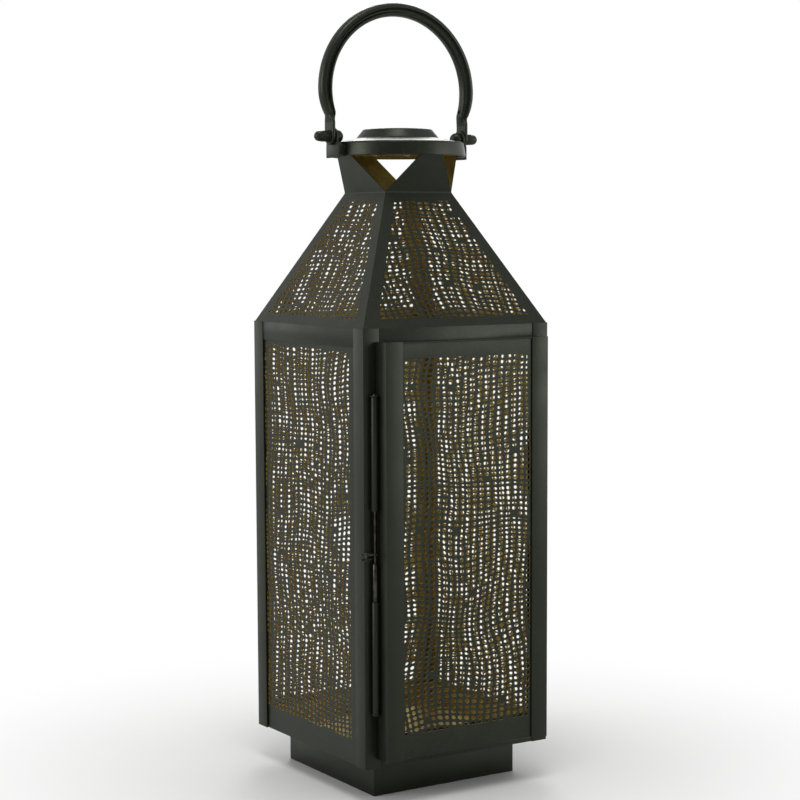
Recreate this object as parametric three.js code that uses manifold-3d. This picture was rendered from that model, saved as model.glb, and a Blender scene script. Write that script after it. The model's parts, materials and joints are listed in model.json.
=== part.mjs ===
// A square sheet-steel solar lantern on a plinth: four corner angles, perforated side and roof sheets, a
// hinged box door, a round pressed cap with a solar light unit inside it, and a tubular carrying bail.
// Millimetres, +Z up, +X to the right, the door faces -Y. The origin is the middle of the plinth's underside.
// The sheets are plain here: their small punched holes are too many for this model.
import * as THREE from "three";
import { mergeVertices } from "three/addons/utils/BufferGeometryUtils.js";
import Module from "manifold-3d";

const wasm = await Module();
wasm.setup();

// ---- driving dimensions ----
const HALF = 80; // half the body's outside width
const PLINTH_HALF = 62;
const PLINTH_HEIGHT = 26;
const BODY_HEIGHT = 315;
const ROOF_HEIGHT = 96;
const ROOF_TOP_HALF = 28.75;
const SHEET = 0.8; // sheet thickness
const ANGLE = 1.2; // corner angle thickness
const ANGLE_LEG = 13.5;
const GAP = 0.3; // between neighbouring pieces
const BAND = 14; // height of the top bands and of the floor tray's rim
const SKIN = 0.4; // how far the bands lie below the corner angles' faces
const HEADER = 22.4; // height of the strips above and below the door
const MITRE_GAP = 0.22; // from each roof sheet's end to the hip's plane

const DOOR_HALF = 70;
const DOOR_DEPTH = 13.4;
const DOOR_BOTTOM = 33;
const DOOR_TOP = 331.5;
const STILE = 14;
const STILE_LIP = 9; // the stile's rear lip
const DOOR_GAP = 0.6; // from the corner angles to the door's back

const HINGE_PIN_R = 0.9;
const HINGE_TUBE_R = 2.5;
const HINGE_BORE_R = 1.35;
const HINGE_TUBE_LENGTH = 80;
const HINGE_TUBE_APART = 65; // from one tube's end to the other's
const SPACER_R = 1.9;
const SPACER_LENGTH = 27;
const PLATE_THICK = 1.2;
const PLATE_R = 2.7;
const EYE_WIRE_R = 0.8;
const EYE_PITCH = 3.4; // height between the eye's two legs

const CAP_R = 50.7;
const CAP_RIM = 10.6; // height of the cap's rim
const CAP_FLARE = 1.2; // how much wider the rim is at its foot
const CAP_CROWN_R = 31; // foot of the raised crown
const CAP_CROWN_TOP_R = 26.4;
const CAP_WINDOW_R = 18.6; // the opening for the solar panel
const TAB_TOP_HALF = 8.6; // half the width of a roof sheet's tab where it meets the cap
const TAB_REACH = 47.6; // how far out that end stands

const BAIL_R = 5;
const BAIL_HALF_WIDTH = 62; // to the tube's middle
const BAIL_RISE = 59.45; // from the arch's widest point to its top, at the tube's middle
const BAIL_DROP = 50; // the arch's upright radius below its widest point
const BAIL_END_ANGLE = THREE.MathUtils.degToRad(21);
const FOOT_THICK = 3;
const FOOT_HALF = 6.2;

const PIVOT_R = 2;
const PIVOT_BORE_R = 2.4;

// ---- heights worked out from them ----
const BODY_TOP = PLINTH_HEIGHT + BODY_HEIGHT;
const ROOF_TOP = BODY_TOP + ROOF_HEIGHT;
const CAP_BOTTOM = ROOF_TOP + 26.4;
const CAP_SHOULDER = CAP_BOTTOM + CAP_RIM;
const CROWN_FOOT = CAP_SHOULDER + 3;
const CAP_TOP = CROWN_FOOT + 6.8;
const PIVOT_Z = CAP_SHOULDER + 3.5;
const BAIL_Z = PIVOT_Z + 34.5; // height of the arch's widest point
const HINGE_X = -DOOR_HALF - 3.2;
const HINGE_Y = -HALF - 3.6;
const HINGE_Z = (DOOR_BOTTOM + DOOR_TOP) / 2 - 2; // middle height of the hinge

// ---- looks ----
const black = new THREE.MeshStandardMaterial({ color: 0x383a35, roughness: 0.5, metalness: 0.35 });
const darkPlastic = new THREE.MeshStandardMaterial({ color: 0x161616, roughness: 0.6, metalness: 0 });
const steel = new THREE.MeshStandardMaterial({ color: 0x8d8b82, roughness: 0.35, metalness: 1 });
const blackWire = new THREE.MeshStandardMaterial({ color: 0x2a2b27, roughness: 0.4, metalness: 0.6 });
const cellBlue = new THREE.MeshStandardMaterial({ color: 0x10182c, roughness: 0.15, metalness: 0.1 });
const boardGreen = new THREE.MeshStandardMaterial({ color: 0x1d5a34, roughness: 0.5, metalness: 0 });
const clear = new THREE.MeshStandardMaterial({ color: 0xe8e6da, roughness: 0.2, metalness: 0 });
const sleeveGreen = new THREE.MeshStandardMaterial({ color: 0x3f7d46, roughness: 0.4, metalness: 0 });
const magnetNickel = new THREE.MeshStandardMaterial({ color: 0xb9b9b4, roughness: 0.25, metalness: 1 });

const lantern = new THREE.Group();

function add(name, geometry, material) {
  const mesh = new THREE.Mesh(geometry, material);
  mesh.name = name;
  lantern.add(mesh);
  return mesh;
}

// ---- shape helpers ----

// A block between two corners.
function block(low, high) {
  const size = high.map((h, i) => h - low[i]);
  return new THREE.BoxGeometry(...size).translate(...low.map((l, i) => l + size[i] / 2));
}

// A flat outline in XY, raised from z = low to z = high.
function raised(points, low, high) {
  const shape = new THREE.Shape(points.map(([x, y]) => new THREE.Vector2(x, y)));
  const geometry = new THREE.ExtrudeGeometry(shape, { depth: high - low, bevelEnabled: false });
  return geometry.translate(0, 0, low);
}

// A profile of [radius, height] points turned about Z. It closes on itself or starts and ends on the axis.
function turned(profile, segments = 40) {
  const closed = profile[0][0] > 0 ? [...profile, profile[0]] : profile;
  const points = closed.map(([r, z]) => new THREE.Vector2(r, z));
  return new THREE.LatheGeometry(points, segments).rotateX(Math.PI / 2);
}

// A tube with a bore, standing on z = low.
function pipe(outer, inner, low, high, segments = 24) {
  return turned([[inner, low], [outer, low], [outer, high], [inner, high]], segments);
}

// A plain round bar standing on z = low.
function bar(radius, low, high, segments = 24) {
  return turned([[0, low], [radius, low], [radius, high], [0, high]], segments);
}

// A round wire of the given radius along a curve.
function wire(curve, radius, steps, sides = 8) {
  const section = new THREE.Shape();
  for (let i = 0; i < sides; i++) {
    const angle = (2 * Math.PI * i) / sides;
    const [x, y] = [radius * Math.cos(angle), radius * Math.sin(angle)];
    if (i === 0) section.moveTo(x, y);
    else section.lineTo(x, y);
  }
  return new THREE.ExtrudeGeometry(section, { extrudePath: curve, steps, bevelEnabled: false });
}

function solid(geometry) {
  const plain = geometry.index ? geometry.toNonIndexed() : geometry;
  const positions = new THREE.BufferGeometry().setAttribute("position", plain.getAttribute("position"));
  const merged = mergeVertices(positions, 1e-4);
  return new wasm.Manifold(
    new wasm.Mesh({
      numProp: 3,
      vertProperties: new Float32Array(merged.attributes.position.array),
      triVerts: new Uint32Array(merged.index.array),
    }),
  );
}

function fromSolid(made) {
  const mesh = made.getMesh();
  const positions = new Float32Array(mesh.numVert * 3);
  for (let i = 0; i < mesh.numVert; i++) {
    const start = i * mesh.numProp;
    positions.set(mesh.vertProperties.subarray(start, start + 3), i * 3);
  }
  return new THREE.BufferGeometry()
    .setAttribute("position", new THREE.BufferAttribute(positions, 3))
    .setIndex(new THREE.BufferAttribute(mesh.triVerts, 1));
}

const joined = (...parts) => fromSolid(parts.map(solid).reduce((a, b) => a.add(b)));
const cut = (whole, ...tools) => fromSolid(tools.map(solid).reduce((a, b) => a.subtract(b), solid(whole)));

// Moves points of [distance, height] sideways by t, to the left of their direction, keeping each corner.
function offsetPath(path, t) {
  const lines = path.slice(1).map((end, i) => {
    const start = path[i];
    const length = Math.hypot(end[0] - start[0], end[1] - start[1]);
    const along = [(end[0] - start[0]) / length, (end[1] - start[1]) / length];
    const side = [-along[1] * t, along[0] * t];
    return { start: [start[0] + side[0], start[1] + side[1]], end: [end[0] + side[0], end[1] + side[1]], along };
  });
  const points = [lines[0].start];
  for (let i = 1; i < lines.length; i++) {
    const [a, b] = [lines[i - 1], lines[i]];
    const cross = a.along[0] * b.along[1] - a.along[1] * b.along[0];
    const [dx, dz] = [b.start[0] - a.start[0], b.start[1] - a.start[1]];
    const s = (dx * b.along[1] - dz * b.along[0]) / cross;
    points.push([a.start[0] + a.along[0] * s, a.start[1] + a.along[1] * s]);
  }
  points.push(lines[lines.length - 1].end);
  return points;
}

// ---- base ----

function makePlinth() {
  const top = PLINTH_HEIGHT - GAP / 2;
  const hollowHalf = PLINTH_HALF - SHEET;
  add(
    "plinth",
    cut(
      block([-PLINTH_HALF, -PLINTH_HALF, 0], [PLINTH_HALF, PLINTH_HALF, top]),
      block([-hollowHalf, -hollowHalf, SHEET], [hollowHalf, hollowHalf, top + 5]),
    ),
    black,
  );
}

// Faces of the side sheets, counted from the axis. They lie against the backs of the corner angles.
const SHEET_OUT = HALF - ANGLE - GAP;
const SHEET_IN = SHEET_OUT - SHEET;
const FLOOR_UNDER = PLINTH_HEIGHT + GAP;
const FLOOR_TOP = FLOOR_UNDER + SHEET;

function makeFloor() {
  const outside = SHEET_IN - GAP;
  const inside = outside - SHEET;
  const rim = FLOOR_UNDER + BAND;
  add(
    "floor_tray",
    cut(
      block([-outside, -outside, FLOOR_UNDER], [outside, outside, rim]),
      block([-inside, -inside, FLOOR_TOP], [inside, inside, rim + 5]),
    ),
    black,
  );
}

// ---- body ----

function makeCornerAngles() {
  const places = { front_left: [-1, -1], front_right: [1, -1], rear_left: [-1, 1], rear_right: [1, 1] };
  const inner = HALF - ANGLE;
  const leg = HALF - ANGLE_LEG;
  const outline = [[HALF, HALF], [leg, HALF], [leg, inner], [inner, inner], [inner, leg], [HALF, leg]];
  for (const [name, [sx, sy]] of Object.entries(places)) {
    const placed = outline.map(([x, y]) => [x * sx, y * sy]);
    add("corner_angle_" + name, raised(placed, PLINTH_HEIGHT, BODY_TOP), black);
  }
}

// Flat strips between the corner angles. Each lies over its sheet, and the front's two frame the doorway.
const STRIP_OUT = HALF - SKIN;
const STRIP_IN = STRIP_OUT - SHEET;
const STRIP_HALF = HALF - ANGLE_LEG - GAP;

// Faces outwards on the front; the other sides are the same strip turned about Z.
function strip(low, high) {
  return block([-STRIP_HALF, -STRIP_OUT, low], [STRIP_HALF, -STRIP_IN, high]);
}

const MAGNET = { x: 63.6, z: 325, r: 2 };

function makeStrips() {
  const top = BODY_TOP - GAP;
  const quarters = { right: 1, rear: 2, left: 3 };
  for (const [name, quarter] of Object.entries(quarters)) {
    const mesh = add("top_band_" + name, strip(BODY_TOP - BAND, top), black);
    mesh.rotation.z = (quarter * Math.PI) / 2;
  }
  const hole = bar(MAGNET.r + GAP, 0, HALF + 5).rotateX(Math.PI / 2).translate(MAGNET.x, 0, MAGNET.z);
  add("door_header", cut(strip(top - HEADER, top), hole), black);
  add("door_sill", strip(FLOOR_UNDER, FLOOR_UNDER + HEADER), black);
}

function makeSideSheets() {
  const [low, high] = [FLOOR_UNDER, BODY_TOP - GAP];
  const half = SHEET_IN - GAP;
  add("side_sheet_left", block([-SHEET_OUT, -half, low], [-SHEET_IN, half, high]), black);
  add("side_sheet_right", block([SHEET_IN, -half, low], [SHEET_OUT, half, high]), black);
  add("rear_sheet", block([-half, SHEET_IN, low], [half, SHEET_OUT, high]), black);
}

// A small round magnet in the header, behind the free stile's lip, holds the steel door shut.
function makeMagnet() {
  const front = HALF + DOOR_GAP - GAP;
  const magnet = bar(MAGNET.r, front - 4, front).rotateX(Math.PI / 2).translate(MAGNET.x, 0, MAGNET.z);
  add("door_magnet", magnet, magnetNickel);
}

// ---- roof: four sheets, each bent out at the top into a tab that reaches up inside the cap's rim ----

const EAVE_HALF = HALF - 0.6;
const TAB_TOP = CAP_BOTTOM + 1.8;
const TAB_LIP = 5; // the tab's upright end

function roofSheet() {
  const outer = [
    [EAVE_HALF, BODY_TOP + GAP],
    [ROOF_TOP_HALF, ROOF_TOP],
    [TAB_REACH, TAB_TOP],
    [TAB_REACH, TAB_TOP + TAB_LIP],
  ];
  const inner = offsetPath(outer, SHEET);
  // The foot is cut level.
  const slope = (outer[0][0] - outer[1][0]) / (outer[1][1] - outer[0][1]);
  inner[0] = [outer[0][0] - SHEET * Math.hypot(1, slope), outer[0][1]];
  const halfWidths = (row) => [row[0][0] - MITRE_GAP, row[1][0] - MITRE_GAP, TAB_TOP_HALF, TAB_TOP_HALF];
  const loops = [outer, inner].map((row) => ({ row, half: halfWidths(row) }));
  const vertices = [];
  for (const { row, half } of loops)
    row.forEach(([reach, z], i) => vertices.push([-half[i], -reach, z], [half[i], -reach, z]));
  const count = outer.length;
  const at = (loop, i, side) => (loop * count + i) * 2 + side;
  const triangles = [];
  const quad = (a, b, c, d) => triangles.push([a, b, c], [a, c, d]);
  for (let i = 0; i < count - 1; i++) {
    quad(at(0, i, 0), at(0, i, 1), at(0, i + 1, 1), at(0, i + 1, 0)); // outside
    quad(at(1, i, 1), at(1, i, 0), at(1, i + 1, 0), at(1, i + 1, 1)); // inside
    quad(at(0, i, 1), at(1, i, 1), at(1, i + 1, 1), at(0, i + 1, 1)); // right end
    quad(at(1, i, 0), at(0, i, 0), at(0, i + 1, 0), at(1, i + 1, 0)); // left end
  }
  const last = count - 1;
  quad(at(1, 0, 0), at(1, 0, 1), at(0, 0, 1), at(0, 0, 0)); // foot
  quad(at(0, last, 0), at(0, last, 1), at(1, last, 1), at(1, last, 0)); // top
  const positions = new Float32Array(triangles.flat().flatMap((v) => vertices[v]));
  return new THREE.BufferGeometry().setAttribute("position", new THREE.BufferAttribute(positions, 3));
}

function makeRoof() {
  const turns = { front: 0, right: 1, rear: 2, left: 3 };
  for (const [name, quarter] of Object.entries(turns)) {
    const mesh = add("roof_sheet_" + name, roofSheet(), black);
    mesh.rotation.z = (quarter * Math.PI) / 2;
  }
}

// ---- cap ----

function makeCap() {
  const rimTop = CAP_R - CAP_FLARE;
  const outer = [
    [CAP_R, CAP_BOTTOM],
    [rimTop, CAP_SHOULDER - 1.6],
    [rimTop - 0.5, CAP_SHOULDER - 0.5],
    [rimTop - 1.6, CAP_SHOULDER],
    [CAP_CROWN_R + 0.8, CROWN_FOOT - 0.2],
    [CAP_CROWN_R - 0.3, CROWN_FOOT + 0.4],
    [CAP_CROWN_TOP_R + 0.7, CAP_TOP - 1.2],
    [CAP_CROWN_TOP_R - 0.2, CAP_TOP - 0.3],
    [CAP_CROWN_TOP_R - 1.4, CAP_TOP],
    [CAP_WINDOW_R, CAP_TOP],
  ];
  const inner = [
    [CAP_WINDOW_R, CAP_TOP - SHEET],
    [CAP_CROWN_TOP_R - 1.7, CAP_TOP - SHEET],
    [CAP_CROWN_TOP_R - 0.3, CAP_TOP - SHEET - 0.9],
    [CAP_CROWN_R - 1.1, CROWN_FOOT - 0.2],
    [CAP_CROWN_R, CROWN_FOOT - 0.9],
    [rimTop - 2, CAP_SHOULDER - 0.8],
    [rimTop - SHEET, CAP_SHOULDER - 1.9],
    [CAP_R - SHEET, CAP_BOTTOM],
  ];
  add("cap", turned([...outer, ...inner], 56), black);
}

// ---- bail handle and its pivots, the same on both sides ----

const EAR_OUT = 56.4; // outside face of the bracket's plate
const EAR_THICK = 1.5;
const EAR_R = 6.6;
const BRACKET_HALF = 8.9;
const FOOT_IN = EAR_OUT + GAP;
const FOOT_OUT = FOOT_IN + FOOT_THICK;
const WASHER = 0.8;
const NUT_START = FOOT_OUT + GAP + WASHER + GAP;
const NUT_LENGTH = 10;
const BOLT_HEAD = 5.8;

// An outline in the YZ plane made 'thick' deep in X, its nearer face at x = start.
function plateInYZ(shape, start, thick) {
  const geometry = new THREE.ExtrudeGeometry(shape, { depth: thick, bevelEnabled: false, curveSegments: 8 });
  return geometry.rotateZ(Math.PI / 2).rotateY(Math.PI / 2).translate(start, 0, 0);
}

// A plate standing on z = low with square shoulders, narrowing to a round ear about the pivot.
function earShape(halfWidth, low, shoulder, radius) {
  const shape = new THREE.Shape();
  shape.moveTo(-halfWidth, low);
  shape.lineTo(halfWidth, low);
  shape.lineTo(halfWidth, shoulder);
  shape.lineTo(radius, PIVOT_Z - 2);
  shape.lineTo(radius, PIVOT_Z);
  shape.absarc(0, PIVOT_Z, radius, 0, Math.PI, false);
  shape.lineTo(-radius, PIVOT_Z - 2);
  shape.lineTo(-halfWidth, shoulder);
  const hole = new THREE.Path();
  hole.absarc(0, PIVOT_Z, PIVOT_R + GAP, 0, 2 * Math.PI, true);
  shape.holes.push(hole);
  return shape;
}

function makeBracket(side) {
  const low = CAP_BOTTOM - 1.4;
  const shoulder = CAP_SHOULDER - 2.6;
  const plate = plateInYZ(earShape(BRACKET_HALF, low, shoulder, EAR_R), EAR_OUT - EAR_THICK, EAR_THICK);
  // Two flanges reach in to the cap's rim.
  const half = EAR_THICK / 2;
  const wing = (y) => block([50.3, y - half, low + 0.8], [EAR_OUT - 0.2, y + half, shoulder - 0.4]);
  const inset = BRACKET_HALF - half;
  const rimCutter = turned([[0, low - 5], [CAP_R + GAP, low - 5], [CAP_R + GAP, PIVOT_Z], [0, PIVOT_Z]], 56);
  const whole = cut(joined(plate, wing(inset), wing(-inset)), rimCutter);
  return mirrored(whole, side);
}

// The same geometry on the other side of the YZ plane, with its faces turned back out.
function mirrored(geometry, side) {
  if (side === "right") return geometry;
  const flat = geometry.index ? geometry.toNonIndexed() : geometry.clone();
  const p = flat.getAttribute("position").array;
  const out = new Float32Array(p.length);
  for (let i = 0; i < p.length; i += 9) {
    for (const [from, to] of [[0, 0], [3, 6], [6, 3]])
      out.set([-p[i + from], p[i + from + 1], p[i + from + 2]], i + to);
  }
  return new THREE.BufferGeometry().setAttribute("position", new THREE.BufferAttribute(out, 3));
}

const alongX = (geometry) => geometry.rotateY(Math.PI / 2).translate(0, 0, PIVOT_Z);

function makePivot(side) {
  const headStart = EAR_OUT - EAR_THICK - GAP - BOLT_HEAD;
  const boltEnd = NUT_START + NUT_LENGTH - 4;
  const bolt = turned([
    [0, headStart],
    [3, headStart],
    [4.4, headStart + 1.6],
    [5, headStart + 3.2],
    [5, headStart + BOLT_HEAD],
    [PIVOT_R, headStart + BOLT_HEAD],
    [PIVOT_R, boltEnd],
    [0, boltEnd],
  ]);
  const washerLow = FOOT_OUT + GAP;
  const washer = pipe(4.6, PIVOT_R + GAP, washerLow, washerLow + WASHER);
  const hexEnd = NUT_START + 4;
  const nutEnd = NUT_START + NUT_LENGTH;
  const hex = turned([[0, NUT_START], [4.5, NUT_START], [4.5, hexEnd], [0, hexEnd]], 6);
  const dome = turned([
    [0, hexEnd - 0.5],
    [3.8, hexEnd - 0.5],
    [3.8, hexEnd + 2.6],
    [3.3, hexEnd + 4.3],
    [2.1, hexEnd + 5.5],
    [0, nutEnd],
  ]);
  const thread = bar(PIVOT_R + GAP, NUT_START - 1, boltEnd + GAP);
  add("pivot_bolt_" + side, mirrored(alongX(bolt), side), steel);
  add("pivot_washer_" + side, mirrored(alongX(washer), side), steel);
  add("acorn_nut_" + side, mirrored(alongX(cut(joined(hex, dome), thread)), side), black);
}

function bailArch() {
  const arch = new THREE.Curve();
  arch.getPoint = (t, target = new THREE.Vector3()) => {
    const angle = -BAIL_END_ANGLE + t * (Math.PI + 2 * BAIL_END_ANGLE);
    const height = (angle < 0 || angle > Math.PI ? BAIL_DROP : BAIL_RISE) * Math.sin(angle);
    return target.set(BAIL_HALF_WIDTH * Math.cos(angle), 0, BAIL_Z + height);
  };
  return wire(arch, BAIL_R, 56, 12);
}

// The flattened end of the tube: a plate about the pivot that widens into the tube above it.
function bailFoot() {
  const endX = BAIL_HALF_WIDTH * Math.cos(BAIL_END_ANGLE);
  const endZ = BAIL_Z - BAIL_DROP * Math.sin(BAIL_END_ANGLE);
  const shape = new THREE.Shape();
  shape.absarc(0, PIVOT_Z, FOOT_HALF, Math.PI, 2 * Math.PI, false);
  shape.lineTo(FOOT_HALF, endZ - 3);
  shape.lineTo(-FOOT_HALF, endZ - 3);
  const hole = new THREE.Path();
  hole.absarc(0, PIVOT_Z, PIVOT_BORE_R, 0, 2 * Math.PI, true);
  shape.holes.push(hole);
  const plate = plateInYZ(shape, FOOT_IN, FOOT_THICK);
  // Between the plate's top edge and the tube's end.
  const low = endZ - 3.5;
  const high = endZ + 1;
  const near = [[FOOT_IN, FOOT_HALF], [FOOT_OUT, FOOT_HALF]];
  const far = [[endX - BAIL_R + 0.4, BAIL_R - 0.9], [endX + BAIL_R - 0.4, BAIL_R - 0.9]];
  const corners = [];
  for (const [row, z] of [[near, low], [far, high]])
    for (const [x, y] of row) corners.push([x, -y, z], [x, y, z]);
  const faces = [[0, 1, 3, 2], [4, 6, 7, 5], [0, 4, 5, 1], [2, 3, 7, 6], [0, 2, 6, 4], [1, 5, 7, 3]];
  const positions = faces.flatMap(([a, b, c, d]) => [a, b, c, a, c, d]).flatMap((i) => corners[i]);
  const taper = new THREE.BufferGeometry()
    .setAttribute("position", new THREE.BufferAttribute(new Float32Array(positions), 3));
  return joined(plate, taper);
}

function makeBail() {
  const foot = bailFoot();
  add("bail_handle", joined(bailArch(), foot, mirrored(foot, "left")), black);
}

// ---- door: a shallow box that opens about a pin at its left edge ----

const DOOR_BACK = -HALF - DOOR_GAP;
const DOOR_FRONT = DOOR_BACK - DOOR_DEPTH;
const DOOR_SHEET_FRONT = DOOR_FRONT + SHEET + GAP;

function makeDoorSheet() {
  // The sheet's top and bottom edges are folded back.
  const low = DOOR_BOTTOM + GAP;
  const high = DOOR_TOP - GAP;
  const half = DOOR_HALF - SHEET - GAP;
  const deep = DOOR_BACK - 0.2;
  const whole = block([-half, DOOR_SHEET_FRONT, low], [half, deep, high]);
  const hollow = block([-half - 5, DOOR_SHEET_FRONT + SHEET, low + SHEET], [half + 5, deep + 5, high - SHEET]);
  add("door_sheet", cut(whole, hollow), black);
}

function makeDoorStile(name, side) {
  const face = DOOR_FRONT;
  const edge = DOOR_HALF;
  const inner = edge - STILE;
  const lip = edge - STILE_LIP;
  const outline = [
    [inner, face],
    [edge, face],
    [edge, DOOR_BACK],
    [lip, DOOR_BACK],
    [lip, DOOR_BACK - SHEET],
    [edge - SHEET, DOOR_BACK - SHEET],
    [edge - SHEET, face + SHEET],
    [inner, face + SHEET],
  ];
  // The folded ends of the sheet stop short of the lip, so the lip is cut away there.
  const stile = raised(outline, DOOR_BOTTOM, DOOR_TOP);
  const clearTop = block([0, face + SHEET + 0.01, DOOR_TOP - 2], [edge - SHEET - 0.01, 0, DOOR_TOP + 5]);
  const clearBottom = block([0, face + SHEET + 0.01, DOOR_BOTTOM - 5], [edge - SHEET - 0.01, 0, DOOR_BOTTOM + 2]);
  add(name, mirrored(cut(stile, clearTop, clearBottom), side), black);
}

function makeHinge() {
  const place = (geometry) => geometry.translate(HINGE_X, HINGE_Y, 0);
  const half = HINGE_TUBE_APART / 2;
  const upper = [HINGE_Z + half, HINGE_Z + half + HINGE_TUBE_LENGTH];
  const lower = [HINGE_Z - half - HINGE_TUBE_LENGTH, HINGE_Z - half];
  // A run of weld joins each tube to the door's edge.
  const weldEnd = -DOOR_HALF - GAP - HINGE_X;
  const weld = ([low, high]) => block([HINGE_BORE_R + 0.3, -0.9, low + 2], [weldEnd, 0.9, high - 2]);
  const tube = (span) => place(joined(pipe(HINGE_TUBE_R, HINGE_BORE_R, ...span, 20), weld(span)));
  add("hinge_tube_upper", tube(upper), black);
  add("hinge_tube_lower", tube(lower), black);
  const spacer = [lower[1] + GAP, lower[1] + GAP + SPACER_LENGTH];
  add("hinge_spacer", place(pipe(SPACER_R, HINGE_BORE_R, ...spacer, 20)), blackWire);
  // A small plate welded to the corner angle holds the pin past each tube's far end.
  const plates = { upper: upper[1] + GAP, lower: lower[0] - GAP - PLATE_THICK };
  for (const [name, low] of Object.entries(plates)) {
    const round = bar(PLATE_R, low, low + PLATE_THICK, 24);
    const tongue = block([-2.4, 0, low], [2.4, -HALF - GAP - HINGE_Y, low + PLATE_THICK]);
    const hole = bar(HINGE_BORE_R, low - 5, low + 5, 20);
    add("hinge_plate_" + name, place(cut(joined(round, tongue), hole)), black);
  }
  const pinEnds = [plates.lower - 1, plates.upper + PLATE_THICK + 1];
  add("hinge_pin", place(bar(HINGE_PIN_R, ...pinEnds, 16)), blackWire);
}

// A wire eye that turns once about the pin, its two ends welded to the front left angle.
function makeHingeEye() {
  const loopR = HINGE_PIN_R + 0.35 + EYE_WIRE_R;
  const top = EYE_PITCH / 2;
  const points = [[-10.4, 2.4, top], [-6.6, 2.2, top], [-4.4, 0.8, top], [-2.2, -1.2, top]];
  for (let i = 0; i <= 6; i++) {
    const angle = -Math.PI / 2 + (Math.PI * i) / 6;
    points.push([loopR * Math.cos(angle), loopR * Math.sin(angle), EYE_PITCH * (0.5 - i / 6)]);
  }
  points.push([-2.6, 1.9, -top], [-4.6, 2.2, -top], [-6.6, 2.3, -top], [-10.4, 2.4, -top]);
  const path = new THREE.CatmullRomCurve3(points.map((p) => new THREE.Vector3(...p)));
  const weldBead = block([-6.6, 1.4, -2.9], [-5, -HALF - GAP - HINGE_Y, 2.9]);
  const eye = joined(wire(path, EYE_WIRE_R, 48, 8), weldBead);
  add("hinge_eye", eye.translate(HINGE_X, HINGE_Y, HINGE_Z), blackWire);
}

// ---- solar light unit under the cap ----

const UNIT_R = 39;
const UNIT_WALL = 1.4;
const UNIT_BOTTOM = CAP_BOTTOM + 3.3;
const UNIT_TOP = CAP_SHOULDER - 0.2;
const UNIT_FLOOR = UNIT_BOTTOM + UNIT_WALL;
const LENS_R = 7;
const BATTERY_R = 5.1;
const BATTERY_HALF = 15;
const BATTERY_Y = 17;
const HATCH = { x: 22.5, y: [9.4, 25] };
const SWITCH = { x: 0, y: -22, slotHalf: [5, 2] };
const SWITCH_TRAVEL = 3;
const SCREW_R = 33;
const SCREW_SHANK_R = 1.2;
const SCREW_PLACES = [90, 210, 330].map(THREE.MathUtils.degToRad);

function makeSolarPanel() {
  const cover = CAP_TOP - SHEET - GAP;
  add(
    "solar_panel",
    turned([
      [0, cover - 2.2],
      [20, cover - 2.2],
      [20, cover],
      [CAP_WINDOW_R - GAP, cover],
      [CAP_WINDOW_R - GAP, CAP_TOP],
      [0, CAP_TOP],
    ]),
    cellBlue,
  );
}

function makeHousing() {
  const cup = turned([
    [0, UNIT_BOTTOM],
    [UNIT_R, UNIT_BOTTOM],
    [UNIT_R, UNIT_TOP],
    [UNIT_R - UNIT_WALL, UNIT_TOP],
    [UNIT_R - UNIT_WALL, UNIT_FLOOR],
    [0, UNIT_FLOOR],
  ]);
  const through = [UNIT_BOTTOM - 5, UNIT_FLOOR + 5];
  const lensHole = bar(LENS_R + GAP, ...through);
  const hatchHole = block([-HATCH.x, HATCH.y[0], through[0]], [HATCH.x, HATCH.y[1], through[1]]);
  const [slotX, slotY] = SWITCH.slotHalf;
  const switchHole = block([-slotX, SWITCH.y - slotY, through[0]], [slotX, SWITCH.y + slotY, through[1]]);
  const screwHoles = SCREW_PLACES.map((a) =>
    bar(SCREW_SHANK_R + GAP, ...through, 12).translate(SCREW_R * Math.cos(a), SCREW_R * Math.sin(a), 0),
  );
  add("light_unit_housing", cut(cup, lensHole, hatchHole, switchHole, ...screwHoles), darkPlastic);
}

function makeBatteryBay() {
  const axisZ = UNIT_FLOOR + GAP + BATTERY_R;
  const cell = turned([
    [0, -BATTERY_HALF],
    [BATTERY_R, -BATTERY_HALF],
    [BATTERY_R, BATTERY_HALF - 1],
    [1.6, BATTERY_HALF - 1],
    [1.6, BATTERY_HALF],
    [0, BATTERY_HALF],
  ]);
  add("battery", cell.rotateY(Math.PI / 2).translate(0, BATTERY_Y, axisZ), sleeveGreen);
  const end = BATTERY_HALF + GAP;
  const contactY = [BATTERY_Y - 4, BATTERY_Y + 4];
  const tops = UNIT_FLOOR + 9;
  add("battery_contact_positive", block([end, contactY[0], UNIT_FLOOR + GAP], [end + 0.4, contactY[1], tops]), steel);
  // The negative contact is a flat spring wound to a cone, which stands here as its outer shape.
  const cone = turned([[0, 0], [1.6, 0], [3.6, 3.2], [3.6, 3.8], [0, 3.8]], 20);
  const spring = cone.rotateY(-Math.PI / 2).translate(-end, BATTERY_Y, axisZ);
  add("battery_spring", spring, steel);
  const [y0, y1] = HATCH.y.map((y, i) => y + (i ? -GAP : GAP));
  const screwHole = bar(SCREW_SHANK_R + GAP, UNIT_BOTTOM - 5, UNIT_FLOOR + 5, 12).translate(19, BATTERY_Y, 0);
  const hatch = block([-HATCH.x + GAP, y0, UNIT_BOTTOM], [HATCH.x - GAP, y1, UNIT_FLOOR]);
  add("battery_hatch", cut(hatch, screwHole), darkPlastic);
  add("battery_hatch_screw", screw(19, BATTERY_Y, UNIT_FLOOR + 4), steel);
}

// A pan-head screw put in from below, its head under the housing.
function screw(x, y, end) {
  const head = UNIT_BOTTOM - GAP;
  return turned(
    [
      [0, head - 1.3],
      [1.5, head - 1.3],
      [2.2, head - 0.6],
      [2.2, head],
      [SCREW_SHANK_R, head],
      [SCREW_SHANK_R, end],
      [0, end],
    ],
    16,
  ).translate(x, y, 0);
}

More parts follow.
